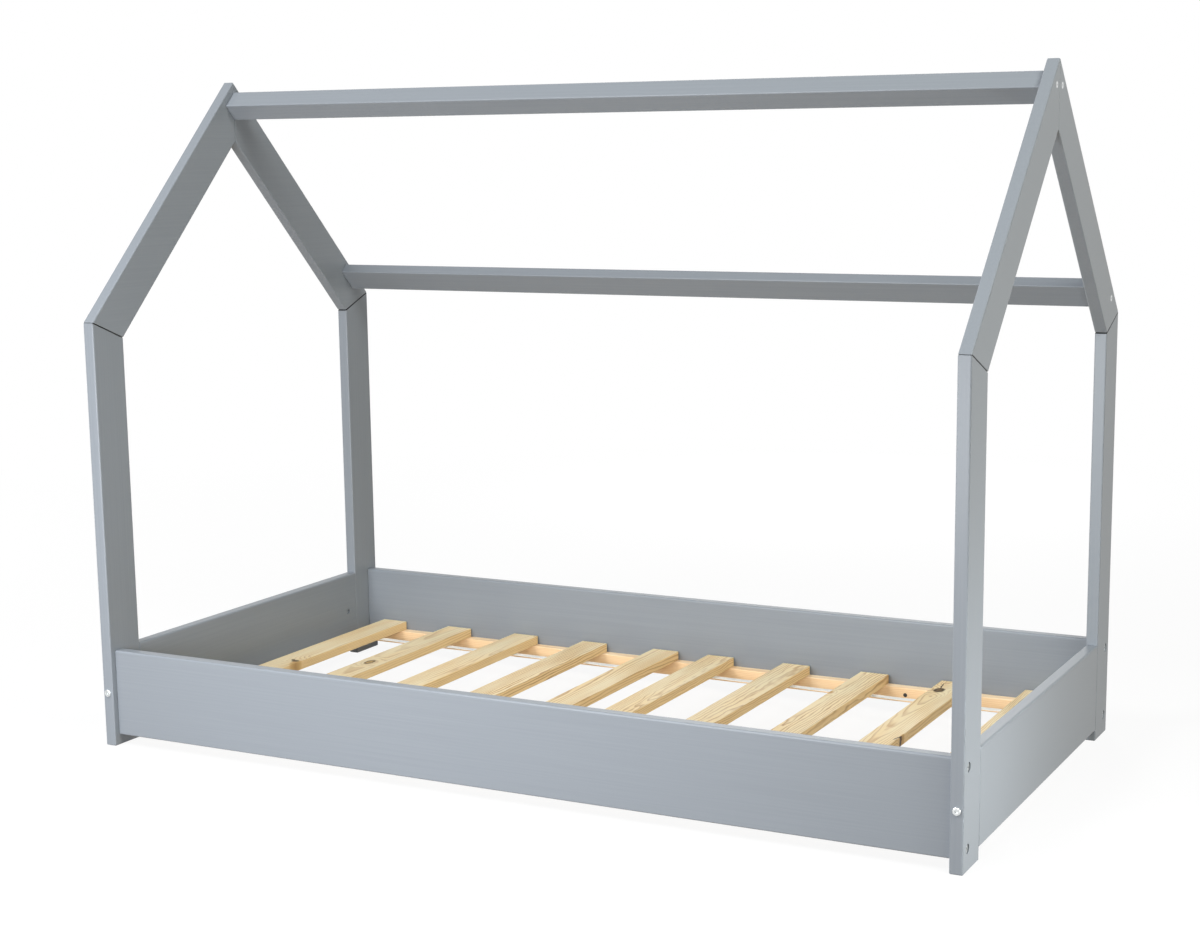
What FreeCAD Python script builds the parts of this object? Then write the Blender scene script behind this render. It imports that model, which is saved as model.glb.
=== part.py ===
import FreeCAD, Part
import os
import Sketcher

# House-frame bed for a child. Two gables of mitred planks stand at the ends, joined by two side boards,
# a ridge beam and one eaves beam at the rear. Two rolls of bare slats lie loose on bearers inside.
# Millimetres and degrees. +X runs along the bed to the right, +Y to the rear, +Z up.
# The origin is on the floor, under the middle of the bed.

# Driving dimensions: alias, value, meaning
SIZES = (
    ("mattress_length", 1600, "length of the mattress that the bed takes"),
    ("mattress_width", 800, "width of the mattress that the bed takes"),
    ("mattress_end_play", 10, "spare length inside the boards"),
    ("mattress_side_play", 2, "spare width inside the boards"),
    ("plank_thickness", 22, "posts, rafters and end boards, which are flush with each other"),
    ("post_width", 80, "posts and rafters, across the plank"),
    ("post_height", 785, "floor to the outer corner of the mitre"),
    ("roof_pitch", 45, "slope of the rafters above level, in degrees"),
    ("side_board_thickness", 22, "front and rear side boards"),
    ("side_board_height", 160, "front and rear side boards"),
    ("side_board_setback", 11, "side board behind the outer edge of the posts"),
    ("end_board_height", 160, "left and right end boards"),
    ("board_lift", 20, "floor to the underside of the boards"),
    ("edge_round", 2.5, "rounded long edges of posts and rafters, and the lower edges of boards"),
    ("board_round", 3.5, "rounded top edges of the boards"),
    ("joint_easing", 1.2, "chamfer round the ends of planks and beams"),
    ("ridge_side", 38, "square ridge beam"),
    ("ridge_drop", 19, "top corner of the ridge beam below the apex"),
    ("eaves_thickness", 22, "rear eaves beam, square to the roof slope"),
    ("eaves_width", 54, "rear eaves beam, along the roof slope"),
    ("eaves_inset", 9, "eaves beam below the upper edge of the rafters"),
    ("eaves_rise", 46, "mitre corner to the eaves beam, along the rafter"),
    ("beam_round", 2, "rounded long edges of the beams"),
    ("bearer_depth", 22, "slat bearers, across the bed"),
    ("bearer_height", 28, "slat bearers"),
    ("bearer_lift", 5, "underside of the bearers above the underside of the boards"),
    ("bearer_end_gap", 2, "each end of a bearer short of the end board"),
    ("bearer_round", 1.5, "rounded long edges of the bearers"),
    ("slats_per_roll", 5, "count"),
    ("slat_width", 58, "each slat, along the bed"),
    ("slat_thickness", 18, "each slat"),
    ("slat_end_gap", 3, "each end of a slat short of the side board"),
    ("slat_round", 1.5, "rounded long edges of the slats"),
    ("roll_margin_left", 42, "left end board to the first slat"),
    ("roll_margin_right", 66, "last slat to the right end board"),
    ("roll_gap", 66, "clear gap between the two rolls"),
    ("ribbon_width", 16, "woven ribbon under a roll"),
    ("ribbon_thickness", 1.2, "woven ribbon under a roll"),
    ("ribbon_inset", 94, "end of a slat to the middle of the ribbon"),
    ("ribbon_end_gap", 6, "end of a ribbon short of the outer edge of its roll"),
    ("staple_crown", 10, "staple, outside its legs"),
    ("staple_wire", 1.2, "staple, square wire"),
    ("staple_grip", 8, "staple legs inside the slat"),
    ("fit_clearance", 0.15, "play all round a shank, dowel, nut or flush head in its hole"),
    ("hole_end_gap", 1, "blind hole past the end of what it holds"),
    ("bolt_diameter", 6, "end board bolts"),
    ("bolt_head_diameter", 13.5, "end board bolts"),
    ("bolt_head_height", 3, "end board bolts, proud of the post"),
    ("bolt_head_round", 1.8, "rounded rim of the bolt head"),
    ("bolt_socket", 5, "hexagon across its flats"),
    ("bolt_socket_depth", 2, "hexagon in the bolt head"),
    ("bolt_past_nut", 6, "bolt beyond its barrel nut"),
    ("nut_diameter", 10, "barrel nuts"),
    ("nut_length", 14, "barrel nuts"),
    ("nut_inset", 30, "end of the end board to the middle of the nut"),
    ("nut_slot_width", 1.4, "slot across the open end of a nut"),
    ("nut_slot_depth", 1.6, "slot across the open end of a nut"),
    ("side_screw_diameter", 7, "side board screws"),
    ("side_screw_grip", 42, "side board screws, inside the side board"),
    ("side_screw_head_diameter", 13.5, "side board screws"),
    ("side_screw_head_height", 2.5, "side board screws"),
    ("side_screw_head_play", 1.25, "counterbore all round the head"),
    ("side_screw_sink", 1.5, "head below the face of the post"),
    ("side_screw_edge", 16, "side board screws from the edges of the board"),
    ("side_screw_socket", 5, "hexagon across its flats"),
    ("side_screw_socket_depth", 1.6, "hexagon in the screw head"),
    ("beam_screw_diameter", 6, "ridge and eaves screws"),
    ("beam_screw_head_diameter", 11, "ridge and eaves screws, flush"),
    ("beam_screw_grip", 58, "ridge and eaves screws, inside the beam"),
    ("ridge_screw_inset", 10.4, "ridge screws in from the side corners of the beam"),
    ("ridge_screw_rise", 3, "ridge screws above the middle of the beam"),
    ("eaves_screw_edge", 13, "eaves screws from the lower edge of the beam"),
    ("bearer_screw_count", 6, "count in each bearer"),
    ("bearer_screw_diameter", 4, "bearer screws"),
    ("bearer_screw_head_diameter", 8, "bearer screws, flush"),
    ("bearer_screw_grip", 15, "bearer screws, inside the side board"),
    ("bearer_screw_margin", 13, "outermost bearer screws past the tips of the side board screws"),
    ("recess_span", 4, "cross recess in a flush screw head, from tip to tip"),
    ("recess_width", 1.2, "cross recess in a flush screw head"),
    ("recess_depth", 1.2, "cross recess in a flush screw head"),
    ("screw_point", 5, "tapered tip of a screw"),
    ("dowel_diameter", 8, "glued dowels"),
    ("dowel_length", 50, "glued dowels, half in each plank"),
    ("dowel_bevel", 0.8, "chamfered ends of the dowels"),
    ("mitre_dowel_edge", 21.5, "mitre dowels from the edges of the plank"),
    ("mitre_opening", 0.8, "mitre open at its inner end, where the planks have shrunk across their width"),
)

# Places worked out from the driving dimensions: alias, formula
PLACES = (
    ("inner_half_length", "(sizes.mattress_length + sizes.mattress_end_play) / 2"),
    ("inner_half_width", "(sizes.mattress_width + sizes.mattress_side_play) / 2"),
    ("half_width", "inner_half_width + sizes.side_board_thickness + sizes.side_board_setback"),
    ("gable_middle", "inner_half_length + sizes.plank_thickness / 2"),
    ("gable_face", "inner_half_length + sizes.plank_thickness"),
    ("post_inner", "half_width - sizes.post_width"),
    ("mitre_lean", "(90 - sizes.roof_pitch) / 2"),
    ("mitre_drop", "sizes.post_width * tan(mitre_lean)"),
    ("mitre_shift", "sizes.mitre_opening / cos(mitre_lean)"),
    ("rafter_inner", "post_inner - mitre_shift * cos(sizes.roof_pitch)"),
    ("rafter_drop", "mitre_drop - mitre_shift * sin(sizes.roof_pitch)"),
    ("rafter_lean", "atan(rafter_drop / (half_width - rafter_inner))"),
    ("apex_height", "sizes.post_height + half_width * tan(sizes.roof_pitch)"),
    ("apex_underside", "apex_height - sizes.post_width / cos(sizes.roof_pitch)"),
    ("ridge_half", "sizes.ridge_side / sqrt(2)"),
    ("ridge_height", "apex_height - sizes.ridge_drop - ridge_half"),
    ("ridge_screw_place", "ridge_half - sizes.ridge_screw_inset"),
    ("ridge_screw_height", "ridge_height + sizes.ridge_screw_rise"),
    ("apex_dowel_step", "(ridge_screw_height - apex_underside) / 3"),
    ("eaves_along", "sizes.eaves_rise + sizes.eaves_screw_edge"),
    ("eaves_under", "sizes.eaves_inset + sizes.eaves_thickness / 2"),
    ("eaves_in", "eaves_along * cos(sizes.roof_pitch) + eaves_under * sin(sizes.roof_pitch)"),
    ("eaves_up", "eaves_along * sin(sizes.roof_pitch) - eaves_under * cos(sizes.roof_pitch)"),
    ("eaves_screw_place", "half_width - eaves_in"),
    ("eaves_screw_height", "sizes.post_height + eaves_up"),
    ("side_board_top", "sizes.board_lift + sizes.side_board_height"),
    ("end_board_top", "sizes.board_lift + sizes.end_board_height"),
    ("side_board_middle", "inner_half_width + sizes.side_board_thickness / 2"),
    ("bolt_height", "sizes.board_lift + sizes.end_board_height / 2"),
    ("bolt_reach", "sizes.nut_inset + sizes.nut_diameter / 2 + sizes.bolt_past_nut"),
    ("nut_place", "post_inner - sizes.nut_inset"),
    ("side_screw_low", "sizes.board_lift + sizes.side_screw_edge"),
    ("side_screw_high", "side_board_top - sizes.side_screw_edge"),
    ("counterbore_depth", "sizes.side_screw_head_height + sizes.side_screw_sink"),
    ("counterbore_diameter", "sizes.side_screw_head_diameter + 2 * sizes.side_screw_head_play"),
    ("bearer_low", "sizes.board_lift + sizes.bearer_lift"),
    ("slat_rest", "bearer_low + sizes.bearer_height"),
    ("bearer_inner", "inner_half_width - sizes.bearer_depth"),
    ("bearer_screw_height", "bearer_low + sizes.bearer_height / 2"),
    ("bearer_screw_last", "inner_half_length - sizes.side_screw_grip - sizes.bearer_screw_margin"),
    ("bearer_screw_pitch", "2 * bearer_screw_last / (sizes.bearer_screw_count - 1)"),
    ("slat_length", "2 * (inner_half_width - sizes.slat_end_gap)"),
    ("roll_gaps", "sizes.roll_margin_left + sizes.roll_gap + sizes.roll_margin_right"),
    ("slat_row", "(2 * inner_half_length - roll_gaps) / 2 - sizes.slat_width"),
    ("slat_pitch", "slat_row / (sizes.slats_per_roll - 1)"),
    ("left_roll_start", "-inner_half_length + sizes.roll_margin_left + sizes.slat_width / 2"),
    ("right_roll_start", "left_roll_start + slat_row + sizes.slat_width + sizes.roll_gap"),
    ("ribbon_place", "slat_length / 2 - sizes.ribbon_inset"),
    ("ribbon_overhang", "sizes.slat_width / 2 - sizes.ribbon_end_gap"),
    ("staple_half", "sizes.staple_crown / 2"),
    ("staple_inside", "staple_half - sizes.staple_wire"),
    ("staple_leg", "staple_half - sizes.staple_wire / 2"),
    ("staple_hole", "sizes.staple_wire + 2 * sizes.fit_clearance"),
    ("staple_depth", "sizes.staple_grip + sizes.hole_end_gap"),
    ("dowel_hole", "sizes.dowel_diameter + 2 * sizes.fit_clearance"),
    ("dowel_depth", "sizes.dowel_length / 2 + sizes.hole_end_gap"),
    ("bolt_hole", "sizes.bolt_diameter + 2 * sizes.fit_clearance"),
    ("nut_hole", "sizes.nut_diameter + 2 * sizes.fit_clearance"),
    ("side_screw_hole", "sizes.side_screw_diameter + 2 * sizes.fit_clearance"),
    ("beam_screw_hole", "sizes.beam_screw_diameter + 2 * sizes.fit_clearance"),
    ("beam_screw_mouth", "sizes.beam_screw_head_diameter + 2 * sizes.fit_clearance"),
    ("bearer_screw_hole", "sizes.bearer_screw_diameter + 2 * sizes.fit_clearance"),
    ("bearer_screw_mouth", "sizes.bearer_screw_head_diameter + 2 * sizes.fit_clearance"),
)

ENDS = (("left", -1), ("right", 1))
SIDES = (("front", -1), ("rear", 1))
NEAR = 0.001
X_DIRECTION = FreeCAD.Vector(1, 0, 0)
Z_DIRECTION = FreeCAD.Vector(0, 0, 1)

doc = FreeCAD.newDocument("house_bed")
bodies = []


# Document helpers

def fill_sheet(name, cells):
    """Spreadsheet with one named cell for each alias and content."""
    sheet = doc.addObject("Spreadsheet::Sheet", name)
    for number, (alias, content, meaning) in enumerate(cells, start=1):
        sheet.set(f"A{number}", meaning)
        sheet.set(f"B{number}", content)
        sheet.setAlias(f"B{number}", alias)
    doc.recompute()
    return sheet


sizes = fill_sheet("sizes", [(alias, str(value), meaning) for alias, value, meaning in SIZES])
places = fill_sheet("places", [(alias, "=" + formula, alias.replace("_", " ")) for alias, formula in PLACES])


def amount(expression):
    """Present value of an expression on the sheets."""
    return float(sizes.evalExpression(expression))


def at(value, expression):
    """Whether a coordinate lies at the value of an expression."""
    return abs(value - amount(expression)) < NEAR


def new_body(label, x="0", y="0", z="0", half_turn=False):
    """Body of one sub-part, at its place in the bed, turned half round Z where asked."""
    body = doc.addObject("PartDesign::Body", label)
    body.Label = label
    body.Placement = FreeCAD.Placement(FreeCAD.Vector(), FreeCAD.Rotation(Z_DIRECTION, 180 * half_turn))
    for letter, place in zip("xyz", (x, y, z)):
        body.setExpression(f"Placement.Base.{letter}", place)
    bodies.append(body)
    return body


def origin_feature(body, role):
    """Plane or axis of the body's own origin."""
    return next(feature for feature in body.Origin.OriginFeatures if feature.Role == role)


def new_sketch(body, name, plane, x="0", y="0", z="0", turn=None):
    """Sketch on an origin plane, moved along the plane's own axes and turned by (axis, angle)."""
    sketch = body.newObject("Sketcher::SketchObject", name)
    sketch.AttachmentSupport = [(origin_feature(body, plane + "_Plane"), "")]
    sketch.MapMode = "FlatFace"
    if turn:
        axis, angle = turn
        rotation = FreeCAD.Rotation(axis, amount(angle))
        sketch.AttachmentOffset = FreeCAD.Placement(FreeCAD.Vector(), rotation)
        sketch.setExpression("AttachmentOffset.Rotation.Angle", angle)
    for letter, place in zip("xyz", (x, y, z)):
        sketch.setExpression(f"AttachmentOffset.Base.{letter}", place)
    return sketch


def pin(sketch, piece, point, spot):
    """Hold one point of a sketch at a spot given by two expressions."""
    # Piece -1 of a sketch is its horizontal axis, whose point 1 is the origin, and -2 its vertical axis
    for kind, axis, expression in (("DistanceX", -2, spot[0]), ("DistanceY", -1, spot[1])):
        value = amount(expression)
        if abs(value) < NEAR:
            sketch.addConstraint(Sketcher.Constraint("PointOnObject", piece, point, axis))
        else:
            number = sketch.addConstraint(Sketcher.Constraint(kind, -1, 1, piece, point, value))
            sketch.setExpression(f"Constraints[{number}]", expression)


def add_outline(sketch, corners):
    """Closed outline of straight sides through the corners."""
    spots = [FreeCAD.Vector(amount(across), amount(up), 0) for across, up in corners]
    sides = [sketch.addGeometry(Part.LineSegment(start, end), False)
             for start, end in zip(spots, spots[1:] + spots[:1])]
    for previous, side, corner in zip(sides[-1:] + sides, sides, corners):
        sketch.addConstraint(Sketcher.Constraint("Coincident", previous, 2, side, 1))
        pin(sketch, side, 1, corner)


def add_box(sketch, low, high):
    """Rectangle between two corners."""
    add_outline(sketch, (low, (high[0], low[1]), high, (low[0], high[1])))


def add_squares(sketch, spots, side):
    """One square of the given side about each spot."""
    for across, up in spots:
        add_box(sketch, (f"{across} - {side} / 2", f"{up} - {side} / 2"),
                (f"{across} + {side} / 2", f"{up} + {side} / 2"))


def add_circles(sketch, spots, diameter):
    """One circle of the given diameter at each spot."""
    for spot in spots:
        centre = FreeCAD.Vector(amount(spot[0]), amount(spot[1]), 0)
        piece = sketch.addGeometry(Part.Circle(centre, Z_DIRECTION, amount(diameter) / 2), False)
        # Point 3 of a circle is its centre
        pin(sketch, piece, 3, spot)
        number = sketch.addConstraint(Sketcher.Constraint("Diameter", piece, amount(diameter)))
        sketch.setExpression(f"Constraints[{number}]", diameter)


def pad(body, sketch, length, both_ways=False):
    """Solid of the sketch, along its normal or half to each side."""
    feature = body.newObject("PartDesign::Pad", sketch.Name + "_pad")
    feature.Profile = sketch
    feature.SideType = "Symmetric" if both_ways else "One side"
    feature.setExpression("Length", length)
    doc.recompute()
    return feature


def cut(body, feature):
    """Recompute a feature that takes material away, and make sure that it did."""
    before = feature.BaseFeature.Shape.Volume
    doc.recompute()
    if feature.Shape.Volume >= before - NEAR:
        raise ValueError(f"{feature.Name} cuts nothing from {body.Label}")
    return feature


def pocket(body, sketch, depth, backwards=False):
    """Recess of the sketch, against its normal, or along it when backwards."""
    feature = body.newObject("PartDesign::Pocket", sketch.Name + "_pocket")
    feature.Profile = sketch
    feature.Reversed = backwards
    feature.setExpression("Length", depth)
    return cut(body, feature)


def drill(body, sketch, diameter, depth=None, counterbore=None, countersink=None, backwards=False):
    """Holes at the circles of a sketch, right through where no depth is given."""
    feature = body.newObject("PartDesign::Hole", sketch.Name + "_hole")
    feature.Profile = sketch
    doc.recompute()
    feature.ThreadType = "None"
    feature.DrillPoint = "Flat"
    feature.Reversed = backwards
    feature.setExpression("Diameter", diameter)
    if depth:
        feature.DepthType = "Dimension"
        feature.setExpression("Depth", depth)
    else:
        feature.DepthType = "ThroughAll"
    if counterbore:
        feature.HoleCutType = "Counterbore"
        feature.setExpression("HoleCutDiameter", counterbore[0])
        feature.setExpression("HoleCutDepth", counterbore[1])
    if countersink:
        feature.HoleCutType = "Countersink"
        feature.HoleCutCountersinkAngle = 90
        feature.setExpression("HoleCutDiameter", countersink)
    return cut(body, feature)


def copies(body, originals, mirrors=(), row=None):
    """Repeat features along a row of (axis, count, overall length), then in each mirror plane."""
    feature = body.newObject("PartDesign::MultiTransform", "copies")
    steps = []
    if row:
        axis, count, length = row
        pattern = body.newObject("PartDesign::LinearPattern", "row")
        pattern.Direction = (origin_feature(body, axis + "_Axis"), [""])
        pattern.setExpression("Length", length)
        pattern.setExpression("Occurrences", count)
        steps.append(pattern)
    for plane in mirrors:
        mirror = body.newObject("PartDesign::Mirrored", "mirror")
        mirror.MirrorPlane = (origin_feature(body, plane + "_Plane"), [""])
        steps.append(mirror)
    feature.Originals = originals
    feature.Transformations = steps
    body.Tip = feature
    doc.recompute()


def edges_where(feature, test):
    """Names of the feature's edges whose ends and middle all pass the test."""
    names = []
    for number, edge in enumerate(feature.Shape.Edges, start=1):
        first, last = edge.ParameterRange
        if all(test(edge.valueAt(spot)) for spot in (first, (first + last) / 2, last)):
            names.append(f"Edge{number}")
    return names


def fillet(body, feature, radius, test):
    """Round the edges that pass the test."""
    rounded = body.newObject("PartDesign::Fillet", "rounded")
    rounded.Base = (feature, edges_where(feature, test))
    rounded.setExpression("Radius", radius)
    doc.recompute()
    return rounded


def chamfer(body, feature, size, test):
    """Bevel the edges that pass the test."""
    eased = body.newObject("PartDesign::Chamfer", "eased")
    eased.Base = (feature, edges_where(feature, test))
    eased.setExpression("Size", size)
    doc.recompute()
    return eased


def revolve(body, name, plane, corners, x, y, z, turn=None):
    """Solid turned about the horizontal axis of a sketch from the outline of its half section."""
    sketch = new_sketch(body, name, plane, x, y, z, turn)
    add_outline(sketch, corners)
    feature = body.newObject("PartDesign::Revolution", name + "_turned")
    feature.Profile = sketch
    feature.ReferenceAxis = (sketch, ["H_Axis"])
    feature.Angle = 360
    doc.recompute()
    return feature


# Spots that holes and fasteners share

def side_screw_spots(across):
    """The two screws at an end of a side board."""
    return [(across, "places.side_screw_low"), (across, "places.side_screw_high")]


def bearer_screw_spots():
    """Screws along a bearer, in the frame of a body in the middle of the bed."""
    count = int(amount("sizes.bearer_screw_count"))
    return [(f"{number} * places.bearer_screw_pitch - places.bearer_screw_last",
             "places.bearer_screw_height") for number in range(count)]


def staple_spots(along, middle):
    """The two legs of a staple."""
    return [(along, f"{middle} + {way} * places.staple_leg") for way in (-1, 1)]


def apex_dowel_heights():
    """Dowels spaced evenly between the underside of an apex and the ridge screws."""
    return [f"places.apex_underside + {step} * places.apex_dowel_step" for step in (1, 2)]


MITRE_DOWEL_PLACES = ("sizes.mitre_dowel_edge", "(sizes.post_width - sizes.mitre_dowel_edge)")
DOWN_THE_ROOF = (-Z_DIRECTION, "sizes.roof_pitch")


# Gables

def on_plank_face(spot):
    """Whether a point of a gable plank lies on one of its broad faces."""
    return at(abs(spot.x), "sizes.plank_thickness / 2")


def on_mitre(spot, lean):
    """Whether a point lies on a mitre face, which leans down from the outer corner of the gable."""
    below_corner = (amount("places.half_width") - spot.y) * amount(f"tan({lean})")
    return at(spot.z + below_corner, "sizes.post_height")


def new_plank(label, end, side, corners):
    """Plank of a gable from its side view. Its outer edge is on its own +Y, so front ones are turned."""
    body = new_body(label, x=f"{end} * places.gable_middle", half_turn=side < 0)
    side_view = new_sketch(body, "side_view", "YZ")
    add_outline(side_view, corners)
    return body, pad(body, side_view, "sizes.plank_thickness", both_ways=True)


def outer_face_spots(body, name, outer, spots, diameter):
    """Sketch of hole centres on the outer face of a plank, which is its own +X or -X side."""
    sketch = new_sketch(body, name, "YZ", z=f"{outer} * sizes.plank_thickness / 2")
    add_circles(sketch, spots, diameter)
    return sketch


def mitre_spots(body):
    """Sketch of dowel hole centres on the mitre, from its outer corner inwards."""
    tilt = (X_DIRECTION, "places.mitre_lean")
    sketch = new_sketch(body, "mitre_spots", "XY", "0", "places.half_width", "sizes.post_height", tilt)
    spots = [("0", f"-{place} / cos(places.mitre_lean)") for place in MITRE_DOWEL_PLACES]
    add_circles(sketch, spots, "places.dowel_hole")
    return sketch


def make_post(label, end, side):
    """Upright plank with its mitre, holes for a bolt and two sunk screws, and dowel holes."""
    outer = end * side
    body, plank = new_plank(label, end, side, (
        ("places.post_inner", "0"),
        ("places.half_width", "0"),
        ("places.half_width", "sizes.post_height"),
        ("places.post_inner", "sizes.post_height - places.mitre_drop"),
    ))

    def on_long_edge(spot):
        return on_plank_face(spot) and (at(spot.y, "places.half_width") or at(spot.y, "places.post_inner"))

    rounded = fillet(body, plank, "sizes.edge_round", on_long_edge)
    chamfer(body, rounded, "sizes.joint_easing",
            lambda spot: at(spot.z, "0") or on_mitre(spot, "places.mitre_lean"))
    screws = outer_face_spots(body, "screw_spots", outer, side_screw_spots("places.side_board_middle"),
                              "places.side_screw_hole")
    drill(body, screws, "places.side_screw_hole", backwards=outer < 0,
          counterbore=("places.counterbore_diameter", "places.counterbore_depth"))
    bolt = new_sketch(body, "bolt_spot", "XZ", z="-places.half_width")
    add_circles(bolt, [("0", "places.bolt_height")], "places.bolt_hole")
    drill(body, bolt, "places.bolt_hole", backwards=True)
    drill(body, mitre_spots(body), "places.dowel_hole", "places.dowel_depth")


def make_rafter(label, end, side):
    """Sloping plank from the mitre to the plumb cut at the apex, with dowel and sunk screw holes."""
    outer = end * side
    body, plank = new_plank(label, end, side, (
        ("places.half_width", "sizes.post_height"),
        ("0", "places.apex_height"),
        ("0", "places.apex_underside"),
        ("places.rafter_inner", "sizes.post_height - places.rafter_drop"),
    ))
    slope = amount("tan(sizes.roof_pitch)")

    def on_long_edge(spot):
        at_apex = spot.z + spot.y * slope
        on_edge = at(at_apex, "places.apex_height") or at(at_apex, "places.apex_underside")
        return on_edge and on_plank_face(spot)

    rounded = fillet(body, plank, "sizes.edge_round", on_long_edge)
    chamfer(body, rounded, "sizes.joint_easing",
            lambda spot: at(spot.y, "0") or on_mitre(spot, "places.rafter_lean"))
    drill(body, mitre_spots(body), "places.dowel_hole", "places.dowel_depth", backwards=True)
    apex = new_sketch(body, "apex_spots", "XZ")
    add_circles(apex, [("0", height) for height in apex_dowel_heights()], "places.dowel_hole")
    drill(body, apex, "places.dowel_hole", "places.dowel_depth")
    screw_spots = [("places.ridge_screw_place", "places.ridge_screw_height")]
    if side > 0:
        screw_spots.append(("places.eaves_screw_place", "places.eaves_screw_height"))
    screws = outer_face_spots(body, "screw_spots", outer, screw_spots, "places.beam_screw_hole")
    drill(body, screws, "places.beam_screw_hole", countersink="places.beam_screw_mouth", backwards=outer < 0)


def round_board(body, plank, on_face, top, on_end):
    """Round the long edges of a board, the top ones more, and ease its ends."""
    crowned = fillet(body, plank, "sizes.board_round", lambda spot: on_face(spot) and at(spot.z, top))
    rounded = fillet(body, crowned, "sizes.edge_round",
                     lambda spot: on_face(spot) and at(spot.z, "sizes.board_lift"))
    chamfer(body, rounded, "sizes.joint_easing", on_end)


def make_end_board(label, end):
    """Board between the posts of a gable, with bolt holes in its ends and nut holes in its inner face."""
    body = new_body(label, x=f"{end} * places.gable_middle", half_turn=end < 0)
    side_view = new_sketch(body, "side_view", "YZ")
    add_box(side_view, ("-places.post_inner", "sizes.board_lift"),
            ("places.post_inner", "places.end_board_top"))
    plank = pad(body, side_view, "sizes.plank_thickness", both_ways=True)
    round_board(body, plank, on_plank_face, "places.end_board_top",
                lambda spot: at(abs(spot.y), "places.post_inner"))
    bolt = new_sketch(body, "bolt_spot", "XZ", z="-places.post_inner")
    add_circles(bolt, [("0", "places.bolt_height")], "places.bolt_hole")
    bolt_hole = drill(body, bolt, "places.bolt_hole", "places.bolt_reach + sizes.hole_end_gap",
                      backwards=True)
    nut = new_sketch(body, "nut_spot", "YZ", z="-sizes.plank_thickness / 2")
    add_circles(nut, [("places.nut_place", "places.bolt_height")], "places.nut_hole")
    nut_hole = drill(body, nut, "places.nut_hole", "(sizes.plank_thickness + sizes.nut_length) / 2",
                     backwards=True)
    copies(body, [bolt_hole, nut_hole], mirrors=["XZ"])


# Boards, bearers and beams along the bed

def make_side_board(label, side):
    """Long board between the gables, with screw holes in its ends and in its inner face."""
    body = new_body(label, y=f"{side} * places.side_board_middle", half_turn=side < 0)
    section = new_sketch(body, "section", "YZ")
    add_box(section, ("-sizes.side_board_thickness / 2", "sizes.board_lift"),
            ("sizes.side_board_thickness / 2", "places.side_board_top"))
    plank = pad(body, section, "2 * places.inner_half_length", both_ways=True)
    round_board(body, plank, lambda spot: at(abs(spot.y), "sizes.side_board_thickness / 2"),
                "places.side_board_top", lambda spot: at(abs(spot.x), "places.inner_half_length"))
    inner = new_sketch(body, "bearer_screw_spots", "XZ", z="sizes.side_board_thickness / 2")
    add_circles(inner, bearer_screw_spots(), "places.bearer_screw_hole")
    drill(body, inner, "places.bearer_screw_hole", "sizes.bearer_screw_grip + sizes.hole_end_gap")
    end = new_sketch(body, "end_screw_spots", "YZ", z="places.inner_half_length")
    add_circles(end, side_screw_spots("0"), "places.side_screw_hole")
    end_holes = drill(body, end, "places.side_screw_hole", "sizes.side_screw_grip + sizes.hole_end_gap")
    copies(body, [end_holes], mirrors=["YZ"])


def make_bearer(label, side):
    """Batten on the inner face of a side board that carries the slat ends, with sunk screw holes."""
    body = new_body(label, y=f"{side} * places.inner_half_width", half_turn=side < 0)
    section = new_sketch(body, "section", "YZ")
    add_box(section, ("-sizes.bearer_depth", "places.bearer_low"), ("0", "places.slat_rest"))
    batten = pad(body, section, "2 * (places.inner_half_length - sizes.bearer_end_gap)", both_ways=True)

    def on_long_edge(spot):
        on_side = at(spot.y, "0") or at(spot.y, "-sizes.bearer_depth")
        return on_side and (at(spot.z, "places.bearer_low") or at(spot.z, "places.slat_rest"))

    fillet(body, batten, "sizes.bearer_round", on_long_edge)
    inner = new_sketch(body, "screw_spots", "XZ", z="sizes.bearer_depth")
    add_circles(inner, bearer_screw_spots(), "places.bearer_screw_hole")
    drill(body, inner, "places.bearer_screw_hole", countersink="places.bearer_screw_mouth")


def finish_beam(body, section, screw_spots):
    """Beam of a section between the gables, with rounded edges and screw holes in its ends."""
    beam = pad(body, section, "2 * places.inner_half_length", both_ways=True)
    corners = [vertex.Point for vertex in beam.Shape.Vertexes]

    def on_long_edge(spot):
        return any(abs(spot.y - corner.y) < NEAR and abs(spot.z - corner.z) < NEAR for corner in corners)

    rounded = fillet(body, beam, "sizes.beam_round", on_long_edge)
    chamfer(body, rounded, "sizes.joint_easing", lambda spot: at(abs(spot.x), "places.inner_half_length"))
    end = new_sketch(body, "screw_spots", "YZ", z="places.inner_half_length")
    add_circles(end, screw_spots, "places.beam_screw_hole")
    holes = drill(body, end, "places.beam_screw_hole", "sizes.beam_screw_grip + sizes.hole_end_gap")
    copies(body, [holes], mirrors=["YZ"])


def make_ridge_beam():
    """Square beam under the apexes, turned so that one corner is on top."""
    body = new_body("ridge_beam")
    section = new_sketch(body, "section", "YZ")
    add_outline(section, (
        ("0", "places.ridge_height + places.ridge_half"),
        ("-places.ridge_half", "places.ridge_height"),
        ("0", "places.ridge_height - places.ridge_half"),
        ("places.ridge_half", "places.ridge_height"),
    ))
    finish_beam(body, section, [("-places.ridge_screw_place", "places.ridge_screw_height"),
                                ("places.ridge_screw_place", "places.ridge_screw_height")])


def make_eaves_beam():
    """Flat beam between the two rear rafters, lying along the roof slope."""
    body = new_body("rear_eaves_beam")
    section = new_sketch(body, "section", "YZ", "places.half_width", "sizes.post_height", turn=DOWN_THE_ROOF)
    add_box(section, ("-sizes.eaves_rise - sizes.eaves_width", "-sizes.eaves_inset - sizes.eaves_thickness"),
            ("-sizes.eaves_rise", "-sizes.eaves_inset"))
    finish_beam(body, section, [("places.eaves_screw_place", "places.eaves_screw_height")])


# Slat rolls

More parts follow.
